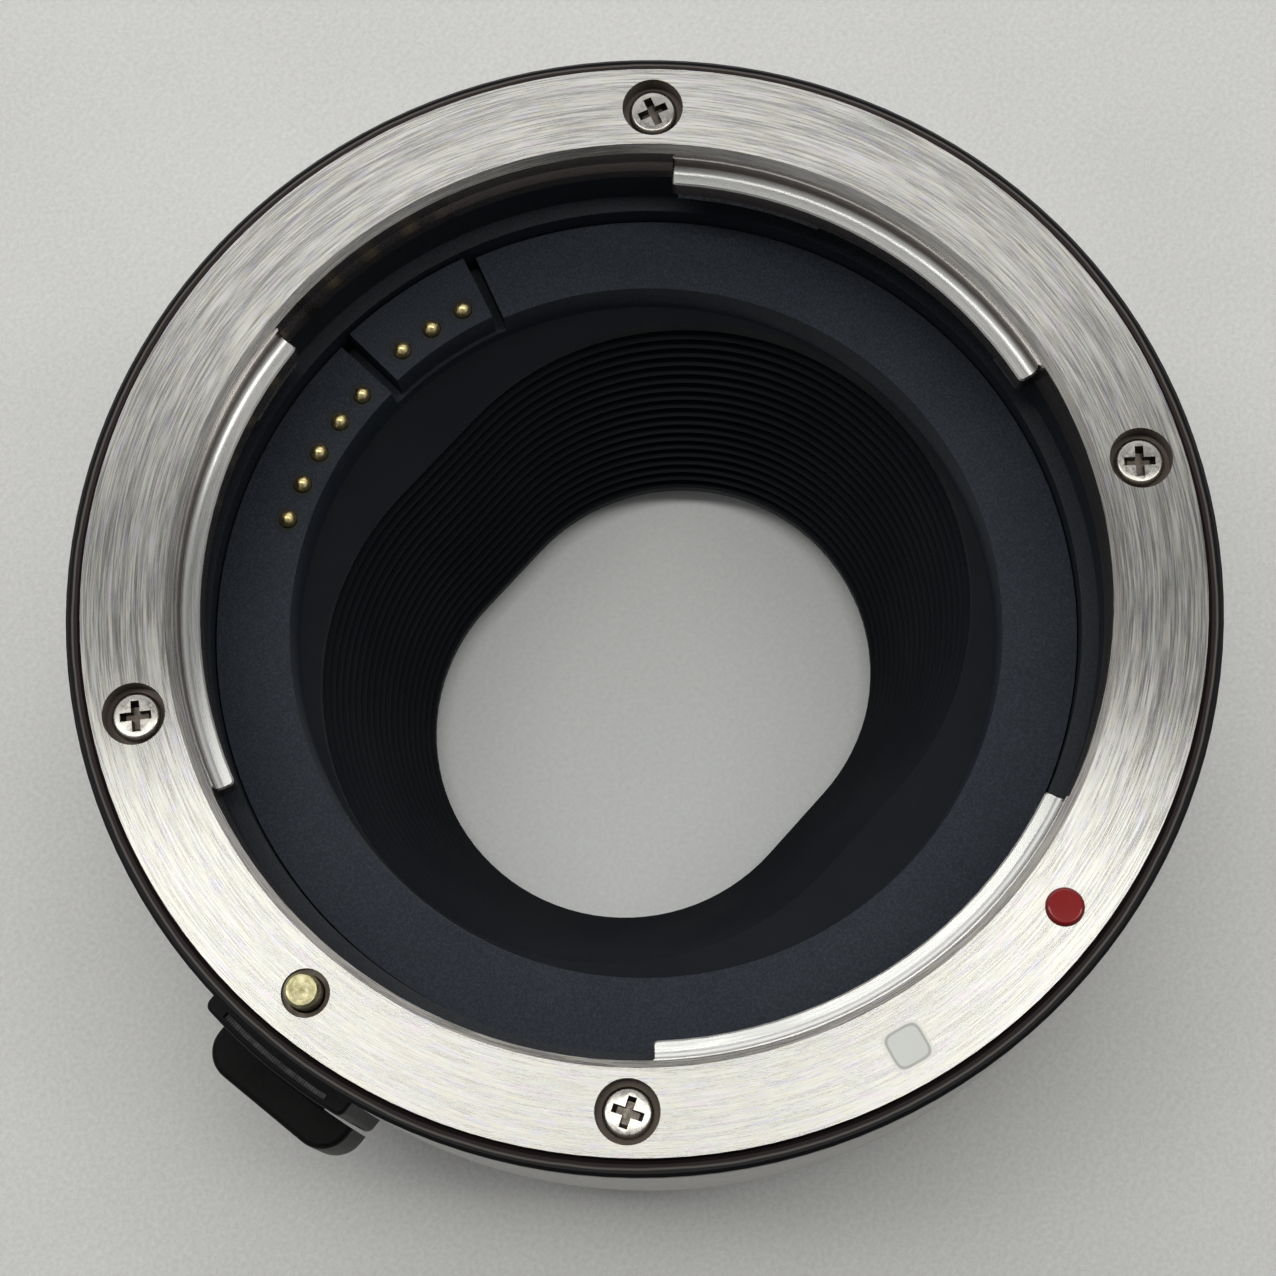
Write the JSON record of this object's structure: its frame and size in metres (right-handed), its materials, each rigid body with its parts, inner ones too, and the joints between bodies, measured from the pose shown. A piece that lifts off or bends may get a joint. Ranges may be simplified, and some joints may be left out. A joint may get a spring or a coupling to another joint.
{
  "type": "lens mount adapter",
  "caption": "Adapter tube that carries a lens in a female bayonet with sprung contacts and locks into a camera body with a male bayonet; a side lever releases the lens.",
  "frame": {"origin": "centre of the lens flange's face, on the optical axis", "axes": "+Z along the optical axis towards the lens, +Y to the red lens index, +X to the lock pin and the release lever"},
  "size_m": [0.0699, 0.0666, 0.0325],
  "materials": {
    "mount_steel": "satin turned",
    "screw_steel": "satin",
    "spring_steel": "satin",
    "pin_brass": "turned",
    "contact_gold": "gold plated",
    "red_mark": "enamel",
    "white_mark": "enamel",
    "black_rim": "gloss black",
    "barrel_finish": "satin pale grey",
    "black_plastic": "matte black",
    "contact_ring_plastic": "fine matte",
    "insulator": "moulded",
    "flex_film": "amber film",
    "lever_bezel_plastic": "satin",
    "lever_plastic": "polished"
  },
  "bodies": {
    "adapter": {"barrel": "barrel_finish", "camera_index_dot": "white_mark", "camera_mount_ring": "mount_steel", "camera_mount_screws": "screw_steel", "contact_carrier": "insulator", "contact_ring": "contact_ring_plastic", "contact_ring_screws": "screw_steel", "contact_spring_1": "spring_steel", "contact_spring_2": "spring_steel", "contact_spring_3": "spring_steel", "contact_spring_4": "spring_steel", "contact_spring_5": "spring_steel", "contact_spring_6": "spring_steel", "contact_spring_7": "spring_steel", "contact_spring_8": "spring_steel", "flex_circuit": "flex_film", "housing_screws": "screw_steel", "inner_housing": "black_plastic", "lens_mount_ring": "mount_steel", "lens_mount_screws": "screw_steel", "lever_bezel": "lever_bezel_plastic", "light_baffle": "black_plastic", "lock_pin_spring": "spring_steel", "mount_leaf_spring_1": "spring_steel", "mount_leaf_spring_2": "spring_steel", "mount_leaf_spring_3": "spring_steel", "raised_contact_block": "contact_ring_plastic", "rear_contact_block": "insulator", "rear_contact_pad_1": "contact_gold", "rear_contact_pad_2": "contact_gold", "rear_contact_pad_3": "contact_gold", "rear_contact_pad_4": "contact_gold", "rear_contact_pad_5": "contact_gold", "rear_contact_pad_6": "contact_gold", "rear_contact_pad_7": "contact_gold", "rear_contact_pad_8": "contact_gold", "rear_contact_pad_9": "contact_gold", "rear_cover": "black_plastic", "red_index_dot": "red_mark", "top_bezel": "black_rim", "white_index_square": "white_mark"},
    "lens_release": {"release_lever": "lever_plastic", "lever_carriage": "insulator", "lock_pin": "pin_brass"},
    "contact_pin_1": {"contact_pin_1": "contact_gold"},
    "contact_pin_2": {"contact_pin_2": "contact_gold"},
    "contact_pin_3": {"contact_pin_3": "contact_gold"},
    "contact_pin_4": {"contact_pin_4": "contact_gold"},
    "contact_pin_5": {"contact_pin_5": "contact_gold"},
    "contact_pin_6": {"contact_pin_6": "contact_gold"},
    "contact_pin_7": {"contact_pin_7": "contact_gold"},
    "contact_pin_8": {"contact_pin_8": "contact_gold"}
  },
  "joints": [
    {"name": "lever_slide", "type": "slide", "parent": "adapter", "child": "lens_release", "axis": [0, 0, -1], "range_m": [0, 0.002], "stiffness_N_per_m": 200, "springref_m": -0.001, "deforming": ["lock_pin_spring"]},
    {"name": "contact_pin_1_slide", "type": "slide", "parent": "adapter", "child": "contact_pin_1", "axis": [0, 0, -1], "range_m": [0, 0.0007], "stiffness_N_per_m": 60, "springref_m": -0.0005, "deforming": ["contact_spring_1"]},
    {"name": "contact_pin_2_slide", "type": "slide", "parent": "adapter", "child": "contact_pin_2", "axis": [0, 0, -1], "range_m": [0, 0.0007], "stiffness_N_per_m": 60, "springref_m": -0.0005, "deforming": ["contact_spring_2"]},
    {"name": "contact_pin_3_slide", "type": "slide", "parent": "adapter", "child": "contact_pin_3", "axis": [0, 0, -1], "range_m": [0, 0.0007], "stiffness_N_per_m": 60, "springref_m": -0.0005, "deforming": ["contact_spring_3"]},
    {"name": "contact_pin_4_slide", "type": "slide", "parent": "adapter", "child": "contact_pin_4", "axis": [0, 0, -1], "range_m": [0, 0.0007], "stiffness_N_per_m": 60, "springref_m": -0.0005, "deforming": ["contact_spring_4"]},
    {"name": "contact_pin_5_slide", "type": "slide", "parent": "adapter", "child": "contact_pin_5", "axis": [0, 0, -1], "range_m": [0, 0.0007], "stiffness_N_per_m": 60, "springref_m": -0.0005, "deforming": ["contact_spring_5"]},
    {"name": "contact_pin_6_slide", "type": "slide", "parent": "adapter", "child": "contact_pin_6", "axis": [0, 0, -1], "range_m": [0, 0.0007], "stiffness_N_per_m": 60, "springref_m": -0.0005, "deforming": ["contact_spring_6"]},
    {"name": "contact_pin_7_slide", "type": "slide", "parent": "adapter", "child": "contact_pin_7", "axis": [0, 0, -1], "range_m": [0, 0.0007], "stiffness_N_per_m": 60, "springref_m": -0.0005, "deforming": ["contact_spring_7"]},
    {"name": "contact_pin_8_slide", "type": "slide", "parent": "adapter", "child": "contact_pin_8", "axis": [0, 0, -1], "range_m": [0, 0.0007], "stiffness_N_per_m": 60, "springref_m": -0.0005, "deforming": ["contact_spring_8"]}
  ]
}
